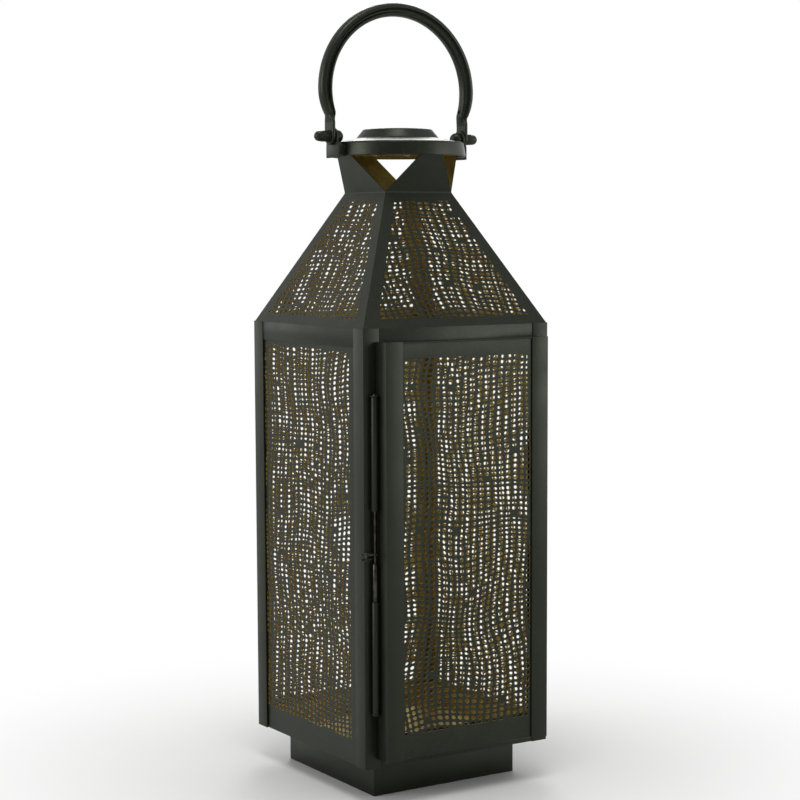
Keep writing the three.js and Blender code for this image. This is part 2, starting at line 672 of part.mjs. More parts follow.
function makeUnitFixings() {
  SCREW_PLACES.forEach((a, i) => {
    const [x, y] = [SCREW_R * Math.cos(a), SCREW_R * Math.sin(a)];
    add("light_unit_screw_" + (i + 1), screw(x, y, CAP_SHOULDER - 0.3), steel);
    const boss = pipe(2.9, SCREW_SHANK_R + GAP, UNIT_FLOOR + GAP, CAP_SHOULDER + 0.8, 12).translate(x, y, 0);
    add("cap_boss_" + (i + 1), boss, steel);
  });
}

function makeLight() {
  const board = UNIT_FLOOR + 4;
  const plate = block([-13, -17, board], [13, 7.5, board + 1.2]);
  add("circuit_board", plate, boardGreen);
  const led = turned([
    [0, board - 5],
    [1.6, board - 4.5],
    [2.4, board - 3.2],
    [2.5, board - 1.2],
    [2.9, board - 1.2],
    [2.9, board - GAP],
    [0, board - GAP],
  ]);
  add("led", led, clear);
  // A shallow domed lens fills the hole in the housing's floor, hollow behind for the LED.
  const low = UNIT_BOTTOM - 1.6;
  const lens = turned([
    [0, low],
    [4, low + 0.5],
    [LENS_R, UNIT_BOTTOM],
    [LENS_R, UNIT_FLOOR],
    [5.2, UNIT_FLOOR],
    [3.6, UNIT_BOTTOM - 0.2],
    [0, UNIT_BOTTOM - 0.6],
  ]);
  add("led_lens", lens, clear);
  const [slotX] = SWITCH.slotHalf;
  const bodyLow = UNIT_FLOOR + GAP;
  const shell = block([-slotX - 2, SWITCH.y - 3.4, bodyLow], [slotX + 2, SWITCH.y + 3.4, bodyLow + 3.6]);
  const bay = block([-slotX + 0.4, SWITCH.y - 1.7, bodyLow - 5], [slotX - 0.4, SWITCH.y + 1.7, bodyLow + 2.2]);
  add("switch_body", cut(shell, bay), steel);
  const rest = -SWITCH_TRAVEL / 2;
  const slider = block([rest - 1.4, SWITCH.y - 1.3, UNIT_BOTTOM - 1.8], [rest + 1.4, SWITCH.y + 1.3, bodyLow + 1.8]);
  add("switch_slider", slider, darkPlastic);
}

makePlinth();
makeFloor();
makeCornerAngles();
makeStrips();
makeSideSheets();
makeMagnet();
makeRoof();
makeCap();
for (const side of ["left", "right"]) {
  add("handle_bracket_" + side, makeBracket(side), black);
  makePivot(side);
}
makeBail();
makeDoorSheet();
makeDoorStile("door_stile_hinge_side", "left");
makeDoorStile("door_stile_free_side", "right");
makeHinge();
makeHingeEye();
makeSolarPanel();
makeHousing();
makeBatteryBay();
makeUnitFixings();
makeLight();

export default lantern;
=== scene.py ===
# A square sheet-steel solar lantern: punched side, door and roof sheets with gilt inner faces, a grooved
# carrying bail, a pressed cap over a solar light unit. Lengths below are metres unless they end in * MM.
import json
import math
import random

import bmesh
import bpy
from mathutils import Matrix, Vector, noise
from mathutils.geometry import delaunay_2d_cdt


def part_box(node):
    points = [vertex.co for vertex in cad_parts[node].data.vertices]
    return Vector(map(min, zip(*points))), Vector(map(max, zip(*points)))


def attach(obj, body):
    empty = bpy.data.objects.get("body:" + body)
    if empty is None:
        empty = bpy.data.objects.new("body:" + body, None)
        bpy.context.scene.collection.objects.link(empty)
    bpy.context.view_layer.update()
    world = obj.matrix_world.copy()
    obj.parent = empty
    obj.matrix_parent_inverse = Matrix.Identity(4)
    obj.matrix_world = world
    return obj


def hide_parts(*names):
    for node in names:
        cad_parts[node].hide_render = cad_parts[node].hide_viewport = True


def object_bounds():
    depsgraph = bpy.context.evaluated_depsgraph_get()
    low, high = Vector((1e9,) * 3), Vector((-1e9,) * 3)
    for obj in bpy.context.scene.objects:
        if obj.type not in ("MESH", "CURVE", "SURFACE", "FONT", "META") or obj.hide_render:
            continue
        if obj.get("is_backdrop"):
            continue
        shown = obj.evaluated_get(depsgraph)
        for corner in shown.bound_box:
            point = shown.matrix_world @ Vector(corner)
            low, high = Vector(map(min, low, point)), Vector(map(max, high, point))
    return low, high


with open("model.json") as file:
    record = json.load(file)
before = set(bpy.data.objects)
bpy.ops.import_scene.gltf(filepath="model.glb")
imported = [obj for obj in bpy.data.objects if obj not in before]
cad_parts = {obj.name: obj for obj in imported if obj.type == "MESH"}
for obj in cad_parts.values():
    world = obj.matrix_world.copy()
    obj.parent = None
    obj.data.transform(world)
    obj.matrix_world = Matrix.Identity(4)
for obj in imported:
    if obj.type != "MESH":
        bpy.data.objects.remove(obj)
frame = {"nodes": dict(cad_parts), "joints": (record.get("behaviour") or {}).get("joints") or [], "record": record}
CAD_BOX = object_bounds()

MM = 0.001
SHEET = 0.45 * MM  # the punched sheets' thickness, less than the CAD's
FOOT_LAP = 0.8 * MM  # how far the roof sheets reach down over the walls' top edges
HIP_LAP = 0.3 * MM  # and past each other at the hips, so that no light comes through the seams
NODE_BODY = {node: body for body, nodes in frame["record"]["behaviour"]["bodies"].items() for node in nodes}
NODE_SLOT = {row["node"]: row["material_slot"] for row in frame["record"]["subparts"]}

# ---------------------------------------------------------------- camera

CAMERA_AZIMUTH = math.radians(-32.43)
CAMERA_ELEVATION = math.radians(5.76)
CAMERA_ROLL = math.radians(-0.25)
CAMERA_DISTANCE = 1.475
CAMERA_AIM = Vector((0, 0, 0.2602))
CAMERA_LENS = 87.75
CAMERA_SHIFT = (0.0016, 0.0352)
CAMERA_NEAREST = 0.05


def make_camera():
    a, e = CAMERA_AZIMUTH, CAMERA_ELEVATION
    back = Vector((math.sin(a) * math.cos(e), -math.cos(a) * math.cos(e), math.sin(e)))
    right = Vector((math.cos(a), math.sin(a), 0))
    up = back.cross(right)
    turn = Matrix((right, up, back)).transposed() @ Matrix.Rotation(CAMERA_ROLL, 3, "Z")
    data = bpy.data.cameras.new("camera")
    data.lens = CAMERA_LENS
    data.shift_x, data.shift_y = CAMERA_SHIFT
    data.clip_start = CAMERA_NEAREST
    camera = bpy.data.objects.new("camera", data)
    camera.matrix_world = Matrix.Translation(CAMERA_AIM + back * CAMERA_DISTANCE) @ turn.to_4x4()
    bpy.context.scene.collection.objects.link(camera)
    bpy.context.scene.camera = camera


# ---------------------------------------------------------------- materials


class Shade:
    """A new material with its Principled shader, and short calls that add nodes to it."""

    def __init__(self, name, base, roughness, metallic=0.0, specular=0.5, coat=0.0, transmission=0.0):
        self.material = bpy.data.materials.new(name)
        self.material.use_nodes = True
        self.tree = self.material.node_tree
        self.shader = self.tree.nodes["Principled BSDF"]
        self.set("Base Color", (*base, 1))
        self.set("Roughness", roughness)
        self.set("Metallic", metallic)
        self.set("Specular IOR Level", specular)
        self.set("Coat Weight", coat)
        self.set("Transmission Weight", transmission)
        self.place = self.tree.nodes.new("ShaderNodeTexCoord").outputs["Object"]

    def set(self, socket, value):
        self.shader.inputs[socket].default_value = value

    def link(self, source, target):
        self.tree.links.new(source, target)

    def noise(self, scale, detail=2.0, rough=0.5, place=None):
        node = self.tree.nodes.new("ShaderNodeTexNoise")
        node.inputs["Scale"].default_value = scale
        node.inputs["Detail"].default_value = detail
        node.inputs["Roughness"].default_value = rough
        self.link(place or self.place, node.inputs["Vector"])
        return node.outputs["Fac"]

    def stretched(self, x, y, z):
        node = self.tree.nodes.new("ShaderNodeMapping")
        node.inputs["Scale"].default_value = (x, y, z)
        self.link(self.place, node.inputs["Vector"])
        return node.outputs["Vector"]

    def ramp(self, value, *stops):
        node = self.tree.nodes.new("ShaderNodeValToRGB")
        while len(node.color_ramp.elements) < len(stops):
            node.color_ramp.elements.new(0.5)
        for element, (position, color) in zip(node.color_ramp.elements, stops):
            element.position = position
            element.color = (*color, 1) if isinstance(color, tuple) else (color, color, color, 1)
        self.link(value, node.inputs["Fac"])
        return node.outputs["Color"]

    def mix(self, factor, a, b, blend="MIX"):
        node = self.tree.nodes.new("ShaderNodeMix")
        node.data_type = "RGBA"
        node.blend_type = blend
        for source, socket in ((factor, node.inputs["Factor"]), (a, node.inputs["A"]), (b, node.inputs["B"])):
            if isinstance(source, bpy.types.NodeSocket):
                self.link(source, socket)
            elif isinstance(source, tuple):
                socket.default_value = (*source, 1)
            else:
                socket.default_value = source
        return node.outputs["Result"]

    def math(self, operation, a, b=0.0, clamp=False):
        node = self.tree.nodes.new("ShaderNodeMath")
        node.operation = operation
        node.use_clamp = clamp
        for source, socket in ((a, node.inputs[0]), (b, node.inputs[1])):
            if isinstance(source, bpy.types.NodeSocket):
                self.link(source, socket)
            else:
                socket.default_value = source
        return node.outputs["Value"]

    def color(self, socket):
        self.link(socket, self.shader.inputs["Base Color"])

    def rough(self, value, low, high):
        self.link(self.ramp(value, (0.3, low), (0.7, high)), self.shader.inputs["Roughness"])

    def bump(self, height, strength, distance):
        node = self.tree.nodes.new("ShaderNodeBump")
        node.inputs["Strength"].default_value = strength
        node.inputs["Distance"].default_value = distance
        self.link(height, node.inputs["Height"])
        self.link(node.outputs["Normal"], self.shader.inputs["Normal"])


def powder_coat():
    # Matt black-olive powder coat: slight cloudiness, fine pale specks, orange peel.
    shade = Shade("black_powder_coat", (0.012, 0.0135, 0.0095), 0.4, specular=0.38)
    cloud = shade.ramp(shade.noise(22, 3), (0.3, (0.0085, 0.0098, 0.0065)), (0.7, (0.0145, 0.016, 0.0112)))
    specks = shade.ramp(shade.noise(1500, 1, 0.6), (0.62, 0.0), (0.74, 1.0))
    shade.color(shade.mix(specks, cloud, (0.05, 0.052, 0.042)))
    shade.set("Specular Tint", (0.89, 1.0, 0.77, 1))
    shade.rough(shade.noise(60, 4), 0.31, 0.41)
    shade.bump(shade.noise(900, 3, 0.55), 0.35, 0.00012)
    return shade.material


def antique_gold():
    # The inner faces' gilt paint, brushed on: brown where thin, brighter streaks.
    shade = Shade("antique_gold_paint", (0.42, 0.26, 0.07), 0.42, metallic=0.55)
    cloud = shade.noise(35, 5, 0.6)
    thin, plain, thick = (0.31, 0.195, 0.024), (0.49, 0.355, 0.07), (0.65, 0.53, 0.165)
    base = shade.ramp(cloud, (0.3, thin), (0.55, plain), (0.75, thick))
    streaks = shade.ramp(shade.noise(1.0, 3, 0.6, shade.stretched(420, 420, 60)), (0.45, 0.0), (0.7, 0.55))
    shade.color(shade.mix(streaks, base, (0.68, 0.54, 0.18)))
    shade.rough(cloud, 0.34, 0.55)
    shade.bump(shade.noise(700, 3, 0.6), 0.3, 0.0001)
    return shade.material


def bare_wire():
    # Drawn steel wire, darkened by a thin brown film.
    shade = Shade("dark_steel_wire", (0.07, 0.065, 0.05), 0.32, metallic=0.9)
    film = shade.ramp(shade.noise(160, 4, 0.65), (0.42, (0.1, 0.095, 0.078)), (0.62, (0.038, 0.034, 0.027)))
    shade.color(film)
    lines = shade.noise(1.0, 3, 0.6, shade.stretched(2600, 2600, 45))
    shade.rough(lines, 0.2, 0.36)
    shade.bump(lines, 0.2, 0.00004)
    return shade.material


def zinc_steel():
    shade = Shade("bright_zinc_plate", (0.55, 0.55, 0.53), 0.3, metallic=1.0)
    cloud = shade.noise(190, 4, 0.6)
    shade.color(shade.ramp(cloud, (0.35, (0.44, 0.45, 0.45)), (0.65, (0.62, 0.61, 0.57))))
    shade.rough(cloud, 0.22, 0.42)
    shade.bump(shade.noise(1400, 2), 0.15, 0.00003)
    return shade.material


def moulded_plastic():
    shade = Shade("moulded_black_plastic", (0.014, 0.014, 0.014), 0.55)
    shade.color(shade.ramp(shade.noise(70, 3), (0.3, (0.011, 0.011, 0.0115)), (0.7, (0.02, 0.02, 0.0195))))
    shade.rough(shade.noise(300, 3), 0.48, 0.62)
    shade.bump(shade.noise(2600, 2, 0.6), 0.3, 0.00005)
    return shade.material


def solar_cells():
    # Deep blue silicon under a clear cover, with thin silver fingers and two wider bus lines.
    shade = Shade("solar_cells", (0.012, 0.02, 0.06), 0.22, specular=0.4, coat=0.2)
    shade.set("Coat Roughness", 0.06)
    split = shade.tree.nodes.new("ShaderNodeSeparateXYZ")
    shade.link(shade.place, split.inputs[0])
    crystal = shade.ramp(shade.noise(260, 2), (0.35, (0.007, 0.012, 0.042)), (0.65, (0.02, 0.035, 0.105)))

    def lines(axis, pitch, width):
        turns = shade.math("DIVIDE", split.outputs[axis], pitch)
        turn = shade.math("FRACT", shade.math("ADD", turns, 50.0))  # 50 keeps it above zero
        return shade.math("LESS_THAN", turn, width / pitch)

    seam = 0.7 * MM
    fingers = lines("X", 1.5 * MM, 0.14 * MM)
    seams = shade.math("MAXIMUM", lines("Y", 9.5 * MM, seam), lines("X", 12 * MM, seam))
    with_fingers = shade.mix(shade.math("MULTIPLY", fingers, 0.6), crystal, (0.35, 0.37, 0.4))
    shade.color(shade.mix(seams, with_fingers, (0.5, 0.52, 0.54)))
    return shade.material


def circuit_green():
    shade = Shade("circuit_board_green", (0.01, 0.09, 0.035), 0.35)
    tracks = shade.noise(1.0, 1, 0.2, shade.stretched(500, 90, 90))
    shade.color(shade.ramp(tracks, (0.48, (0.008, 0.07, 0.028)), (0.52, (0.018, 0.13, 0.05))))
    shade.rough(tracks, 0.3, 0.42)
    return shade.material


def battery_sleeve():
    shade = Shade("battery_sleeve_green", (0.03, 0.16, 0.06), 0.3, coat=0.3)
    shade.color(shade.ramp(shade.noise(90, 3), (0.35, (0.026, 0.14, 0.05)), (0.65, (0.036, 0.18, 0.07))))
    shade.rough(shade.noise(220, 2), 0.24, 0.36)
    return shade.material


def frosted_clear():
    shade = Shade("frosted_clear_plastic", (0.85, 0.84, 0.78), 0.4, transmission=0.55)
    shade.color(shade.ramp(shade.noise(120, 3), (0.3, (0.8, 0.79, 0.72)), (0.7, (0.9, 0.89, 0.84))))
    shade.rough(shade.noise(500, 2), 0.34, 0.48)
    return shade.material


def nickel_plate():
    shade = Shade("nickel_plate", (0.6, 0.59, 0.56), 0.2, metallic=1.0)
    shade.color(shade.ramp(shade.noise(400, 3), (0.35, (0.52, 0.51, 0.48)), (0.65, (0.66, 0.65, 0.62))))
    shade.rough(shade.noise(900, 2), 0.14, 0.28)
    return shade.material


PAINT = powder_coat()
GOLD = antique_gold()
WIRE = bare_wire()
SLOT_MATERIAL = {
    "black_powder_coat": PAINT,
    "dark_wire": WIRE,
    "plain_steel": zinc_steel(),
    "dark_plastic": moulded_plastic(),
    "solar_cell": solar_cells(),
    "battery_sleeve": battery_sleeve(),
    "circuit_board": circuit_green(),
    "clear_plastic": frosted_clear(),
    "nickel_magnet": nickel_plate(),
}

# ---------------------------------------------------------------- pieces

SAME_POINT = 2e-6
FLAT_ANGLE = math.radians(1)


def finish_piece(piece, node, materials, sharp=35):
    """Smooths a new piece, gives it its materials, and lets it stand for its CAD node."""
    for material in materials:
        piece.data.materials.append(material)
    piece.data.shade_smooth()
    piece.data.set_sharp_from_angle(angle=math.radians(sharp))
    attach(piece, NODE_BODY[node])
    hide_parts(node)
    return piece


def new_object(name, vertices, faces, face_materials=None):
    mesh = bpy.data.meshes.new(name)
    mesh.from_pydata(vertices, [], faces)
    if face_materials:
        mesh.polygons.foreach_set("material_index", face_materials)
    mesh.update()
    piece = bpy.data.objects.new(name, mesh)
    bpy.context.scene.collection.objects.link(piece)
    return piece


def apply_modifiers(piece):
    evaluated = piece.evaluated_get(bpy.context.evaluated_depsgraph_get())
    mesh = bpy.data.meshes.new_from_object(evaluated)
    piece.modifiers.clear()
    piece.data = mesh


def rounded_copy(node, width, segments=2, gilt=None, angle=40):
    """The CAD node's shape with flat faces merged and its edges rounded. gilt(centre, normal) picks the
    faces that carry the inner gold paint."""
    source = bmesh.new()
    source.from_mesh(frame["nodes"][node].data)
    bmesh.ops.remove_doubles(source, verts=source.verts, dist=SAME_POINT)
    bmesh.ops.dissolve_limit(source, angle_limit=FLAT_ANGLE, verts=source.verts, edges=source.edges)
    mesh = bpy.data.meshes.new(node + "_fine")
    source.to_mesh(mesh)
    source.free()
    piece = bpy.data.objects.new(node + "_fine", mesh)
    bpy.context.scene.collection.objects.link(piece)
    bevel = piece.modifiers.new("round", "BEVEL")
    bevel.width = width
    bevel.segments = segments
    bevel.limit_method = "ANGLE"
    bevel.angle_limit = math.radians(angle)
    bevel.use_clamp_overlap = True
    apply_modifiers(piece)
    piece.data.materials.clear()
    for face in piece.data.polygons:
        face.material_index = int(bool(gilt) and gilt(face.center, face.normal))
    outside = SLOT_MATERIAL[NODE_SLOT[node]]
    return finish_piece(piece, node, [outside, GOLD] if gilt else [outside])


# ---------------------------------------------------------------- punched sheets

PITCH_ACROSS = 5.6 * MM
PITCH_UP = 3.9 * MM
THREAD_ACROSS = 1.45 * MM  # metal left between neighbouring columns of holes
THREAD_UP = 0.98 * MM  # and between rows
THREAD_WAVER = 0.35  # how much its thickness varies along it
THICK_CHANCE, THICK_THREAD = 0.09, 1.75  # some threads are this much thicker
SWAY = 9.0 * MM  # the threads' slow wander, shared by neighbours
COLUMN_WAVES = 0.075, 0.055  # its waves' lengths across and up
ROW_WAVES = 0.055, 0.085
JITTER_ACROSS, COLUMN_RIPPLE = 1.1 * MM, 0.02  # each column's own wander and its wave's length
JITTER_UP, ROW_RIPPLE = 0.8 * MM, 0.018  # and each row's
WAVER_LENGTH = 0.02  # the wave's length of the threads' thickness
WIDEST, TALLEST = 4.5 * MM, 3.4 * MM
NARROWEST, LOWEST = 1.0 * MM, 0.85 * MM  # smaller gaps stay closed
BLOCKED_CHANCE = 0.012
THREAD_SPREAD, PITCH_SPREAD = (0.7, 1.25), (0.9, 1.1)  # least and most of the plain value
WIDTH_SPREAD, HEIGHT_SPREAD = (0.82, 1.06), (0.8, 1.06)
HOLE_DRAWS = 500  # added to a sheet's seed for its holes' own random draws
HOLE_POINTS = 10
HOLE_ROUNDNESS = 0.93  # 1 is an ellipse, less is squarer
OVERRUN = 0.08  # the weave's share of the span past each end


class Weave:
    """The punched pattern: holes where the gaps of a loose, uneven burlap weave would be."""

    def __init__(self, seed, width, height):
        self.seed = seed
        chance = random.Random(seed)
        self.columns = self.threads(chance, width, PITCH_ACROSS, THREAD_ACROSS)
        self.rows = self.threads(chance, height, PITCH_UP, THREAD_UP)

    @staticmethod
    def threads(chance, span, pitch, thickness):
        """(place, thickness) of the threads, over the span and somewhat past both of its ends."""
        made = []
        place = -OVERRUN * span
        while place < (1 + OVERRUN) * span:
            thick = thickness * chance.uniform(*THREAD_SPREAD)
            if chance.random() < THICK_CHANCE:
                thick *= THICK_THREAD
            made.append((place, thick))
            place += pitch * chance.uniform(*PITCH_SPREAD)
        return made

    def wave(self, x, y, salt):
        """Smooth noise, a different one for each salt; x and y count its waves."""
        return noise.noise(Vector((x, y, self.seed * 3.7 + salt)))

    def across(self, column, height):
        """Where a column's thread stands at a height."""
        place = self.columns[column][0]
        sway = SWAY * self.wave(place / COLUMN_WAVES[0], height / COLUMN_WAVES[1], 0.3)
        return place + sway + JITTER_ACROSS * self.wave(column * 5.3, height / COLUMN_RIPPLE, 7.1)

    def up(self, row, across):
        """How high a row's thread runs at a place across."""
        place = self.rows[row][0]
        sway = SWAY * self.wave(across / ROW_WAVES[0], place / ROW_WAVES[1], 20.9)
        return place + sway + JITTER_UP * self.wave(across / ROW_RIPPLE, row * 4.7, 31.7)

    def metal(self, column, row, x, y):
        """The thread left beside a hole and the one left under it."""
        along_column = self.wave(column * 3.1, y / WAVER_LENGTH, 44.3)
        along_row = self.wave(x / WAVER_LENGTH, row * 3.3, 51.9)
        beside = self.columns[column][1] * (1 + THREAD_WAVER * along_column)
        under = self.rows[row][1] * (1 + THREAD_WAVER * along_row)
        return beside, under

    def holes(self):
        """Loops of (across, up) points, counted from the pattern's lower left corner."""
        chance = random.Random(self.seed + HOLE_DRAWS)
        for row in range(len(self.rows) - 1):
            for column in range(len(self.columns) - 1):
                x, y = self.columns[column][0], self.rows[row][0]
                left, right = self.across(column, y), self.across(column + 1, y)
                low, high = self.up(row, x), self.up(row + 1, x)
                beside, under = self.metal(column, row, x, y)
                wide = min(right - left - beside, WIDEST) * chance.uniform(*WIDTH_SPREAD)
                tall = min(high - low - under, TALLEST) * chance.uniform(*HEIGHT_SPREAD)
                blocked = chance.random() < BLOCKED_CHANCE
                if wide < NARROWEST or tall < LOWEST or blocked:
                    continue
                skew = (self.across(column, y + PITCH_UP) - left) / PITCH_UP
                rise = (self.up(row, x + PITCH_ACROSS) - low) / PITCH_ACROSS
                yield self.loop((left + right) / 2, (low + high) / 2, wide / 2, tall / 2, skew, rise)

    @staticmethod
    def loop(x, y, wide, tall, skew, rise):
        """One rounded hole about (x, y); wide and tall are its half sizes, skew and rise lean it."""
        points = []
        for i in range(HOLE_POINTS):
            turn = 2 * math.pi * (i + 0.5) / HOLE_POINTS
            c, s = math.cos(turn), math.sin(turn)
            u = wide * math.copysign(abs(c) ** HOLE_ROUNDNESS, c)
            v = tall * math.copysign(abs(s) ** HOLE_ROUNDNESS, s)
            points.append((x + u + v * skew, y + v + u * rise))
        return points


STRAIGHT = 1e-6  # radians
TINY = 1e-9
CDT_EPSILON = 1e-7
EDGE = -1


class Bend:
    """A sheet's outer face seen end on: a path of (reach, height) points with rounded bends. Places on it
    are counted along the unfolded sheet."""

    def __init__(self, points, radius, steps=4):
        points = [Vector(p) for p in points]
        self.stations = []  # (distance along, point, outward normal)
        along = 0.0
        heading = (points[1] - points[0]).normalized()
        start = points[0]
        self.add(along, start, heading)
        for i in range(1, len(points)):
            if i == len(points) - 1:
                along += (points[i] - start).length
                self.add(along, points[i], heading)
                break
            turned = (points[i + 1] - points[i]).normalized()
            angle = heading.angle_signed(turned)
            if abs(angle) < STRAIGHT:
                continue
            trim = radius * math.tan(abs(angle) / 2)
            first = points[i] - heading * trim
            along += (first - start).length
            centre = first + self.left(heading) * radius * -math.copysign(1, angle)
            for step in range(steps + 1):
                swing = -angle * step / steps
                arm = first - centre
                arm.rotate(Matrix.Rotation(swing, 2))
                direction = heading.copy()
                direction.rotate(Matrix.Rotation(swing, 2))
                if step:
                    along += radius * abs(angle) / steps
                self.add(along, centre + arm, direction)
            start = points[i] + turned * trim
            heading = turned
        self.length = along

    @staticmethod
    def left(direction):
        return Vector((-direction.y, direction.x))

    def add(self, along, point, direction):
        self.stations.append((along, point, Vector((direction.y, -direction.x))))

    def at(self, along):
        """The outer face's point and its outward direction."""
        for (a, p, n), (b, q, m) in zip(self.stations, self.stations[1:]):
            if along <= b + TINY:
                t = min(max((along - a) / max(b - a, TINY), 0), 1)
                return p.lerp(q, t), n.lerp(m, t).normalized()
        return self.stations[-1][1], self.stations[-1][2]


def flat_layout(bend, half_width, loops):
    """The unfolded sheet cut into triangles: its points, triangles, outline, hole rings, and for each point
    its hole's number, or EDGE on the outline."""
    flat, owner, left, right, edges, rings = [], [], [], [], [], []
    for along, _, _ in bend.stations:
        half = half_width(along)
        right.append(len(flat))
        flat.append(Vector((half, along)))
        left.append(len(flat))
        flat.append(Vector((-half, along)))
        owner += [EDGE, EDGE]
    for side in (left, right):
        edges += list(zip(side, side[1:]))
    edges += list(zip(left, right))
    for number, loop in enumerate(loops):
        ring = list(range(len(flat), len(flat) + len(loop)))
        flat += [Vector(p) for p in loop]
        owner += [number] * len(loop)
        rings.append(ring)
        edges += list(zip(ring, ring[1:] + ring[:1]))
    points, _, triangles, originals, _, _ = delaunay_2d_cdt(flat, edges, [], 1, CDT_EPSILON)
    owners = [owner[o[0]] if o else EDGE for o in originals]
    place = {source: i for i, o in enumerate(originals) for source in o}
    outline = [place[i] for i in right] + [place[i] for i in reversed(left)]
    return points, triangles, outline, [[place[i] for i in ring] for ring in rings], owners


def folded(points, owners, bend, half_width, thickness, level_foot):
    """The outer and inner surfaces' points on the bend, with the inner outline drawn in at the mitres."""
    front, back = [], []
    for point, owner in zip(points, owners):
        middle, normal = bend.at(point.y)
        inner = middle - normal * thickness
        inner_across = point.x
        foot = level_foot and owner == EDGE and point.y < CDT_EPSILON
        if owner == EDGE and half_width.mitred(point.y):
            shrink = min(max(inner.x - middle.x, -thickness), 0)
            inner_across = math.copysign(abs(point.x) + shrink, point.x)
        if foot:
            inner = Vector((middle.x - thickness / normal.x, middle.y))
        lap = FOOT_LAP if foot else 0
        front.append(Vector((point.x, -middle.x, middle.y - lap)))
        back.append(Vector((inner_across, -inner.x, inner.y - lap)))
    return front, back


def punched_sheet(node, bend, half_width, holes, quarter=0, thickness=SHEET, level_foot=False):
    """A bent sheet with holes cut through it. half_width(along) is half its width there. It is made on the
    -Y side and turned by quarters about Z."""
    points, triangles, outline, rings, owners = flat_layout(bend, half_width, holes)
    front, back = folded(points, owners, bend, half_width, thickness, level_foot)
    count = len(points)
    faces, slots = [], []  # slot 0 is the paint, 1 the gold
    for triangle in triangles:
        who = {owners[i] for i in triangle}
        if len(who) == 1 and EDGE not in who:
            continue  # inside a hole
        faces += [tuple(triangle), tuple(count + i for i in reversed(triangle))]
        slots += [0, 1]
    for ring in rings:
        for a, b in zip(ring, ring[1:] + ring[:1]):
            faces.append((a, b, count + b, count + a))
            slots.append(1)
    for a, b in zip(outline, outline[1:] + outline[:1]):
        faces.append((a, count + a, count + b, b))
        slots.append(0)
    turn = Matrix.Rotation(quarter * math.pi / 2, 3, "Z")
    piece = new_object(node + "_fine", [turn @ v for v in front + back], faces, slots)
    return finish_piece(piece, node, [PAINT, GOLD], sharp=25)


class Width:
    """Half the sheet's width along it, from (along, half) pairs; mitred up to a given place."""

    def __init__(self, pairs, mitre_end=0.0):
        self.pairs = pairs
        self.mitre_end = mitre_end

    def __call__(self, along):
        for (a, p), (b, q) in zip(self.pairs, self.pairs[1:]):
            if along <= b:
                return p + (q - p) * (along - a) / (b - a)
        return self.pairs[-1][1]

    def mitred(self, along):
        return along <= self.mitre_end


SMALLEST_HOLE = 0.9 * MM**2  # what a border leaves of a hole is dropped when smaller
ZONE_BOTTOM = 18 * MM  # plain margins of the side sheets
ZONE_TOP = 17 * MM
ZONE_SIDE = 11.4 * MM
ZONE_FRONT = 8 * MM  # and what is added to them next to the door
DOOR_ZONE_BOTTOM = 17 * MM
DOOR_ZONE_TOP = 11 * MM
DOOR_ZONE_SIDE = 1.2 * MM  # from the stiles' inner edges
ROOF_ZONE_BOTTOM = 6.5 * MM
ROOF_ZONE_TOP = 7 * MM
ROOF_ZONE_SIDES = 11.5 * MM, 9 * MM  # at the zone's foot and its top
DOOR_SEED = 29
SIDE_SEED = 11  # and the next ones
ROOF_SEED = 41
SHEET_BEND, DOOR_BEND, ROOF_BEND = 1 * MM, 1.5 * MM, 1.6 * MM  # outer radii of the folds


def zone(bottom, top, low_half, high_half, less_right=0.0, less_left=0.0):
    """The punched part of a sheet, from bottom to top, low_half to high_half wide each side of its middle,
    as (a, b, c) limits that a * across + b * along <= c."""
    slope = (high_half - low_half) / (top - bottom)
    foot = low_half - slope * bottom
    return (1, -slope, foot - less_right), (-1, -slope, foot - less_left), (0, -1, -bottom), (0, 1, top)


def trimmed(loops, shift, limits):
    """The loops moved across by shift and cut off at the limits, where enough of them is left."""
    for loop in loops:
        points = [(x + shift, y) for x, y in loop]
        for a, b, c in limits:
            kept = []
            for (x, y), (u, v) in zip(points, points[1:] + points[:1]):
                room, next_room = c - a * x - b * y, c - a * u - b * v
                if room >= 0:
                    kept.append((x, y))
                if room * next_room < 0:
                    t = room / (room - next_room)
                    kept.append((x + (u - x) * t, y + (v - y) * t))
            points = kept
        area = sum(x * v - u * y for (x, y), (u, v) in zip(points, points[1:] + points[:1])) / 2
        if abs(area) > SMALLEST_HOLE:
            yield points


def make_side_sheets():
    quarters = {"side_sheet_right": 1, "rear_sheet": 2, "side_sheet_left": 3}
    for seed, (node, quarter) in enumerate(quarters.items(), start=SIDE_SEED):
        low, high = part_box(node)
        flat_axis = 0 if quarter % 2 else 1
        reach = max(abs(low[flat_axis]), abs(high[flat_axis]))
        half = high[1 - flat_axis]
        height = high.z - low.z
        bend = Bend([(reach, low.z), (reach, high.z)], SHEET_BEND)
        reach_across = half - ZONE_SIDE
        limits = zone(ZONE_BOTTOM, height - ZONE_TOP, reach_across, reach_across,
                      ZONE_FRONT if quarter == 3 else 0, ZONE_FRONT if quarter == 1 else 0)
        weave = Weave(seed, 2 * half, height)
        holes = trimmed(weave.holes(), -half, limits)
        punched_sheet(node, bend, Width([(0, half), (height, half)]), holes, quarter)


def make_door_sheet():
    low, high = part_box("door_sheet")
    half = high.x
    bend = Bend([(-high.y, low.z), (-low.y, low.z), (-low.y, high.z), (-high.y, high.z)], DOOR_BEND)
    depth = high.y - low.y
    start = depth + DOOR_ZONE_BOTTOM
    end = bend.length - depth - DOOR_ZONE_TOP
    reach_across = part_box("door_stile_free_side")[0].x - DOOR_ZONE_SIDE
    weave = Weave(DOOR_SEED, 2 * half, bend.length)
    holes = trimmed(weave.holes(), -half, zone(start, end, reach_across, reach_across))
    punched_sheet("door_sheet", bend, Width([(0, half), (bend.length, half)]), holes)


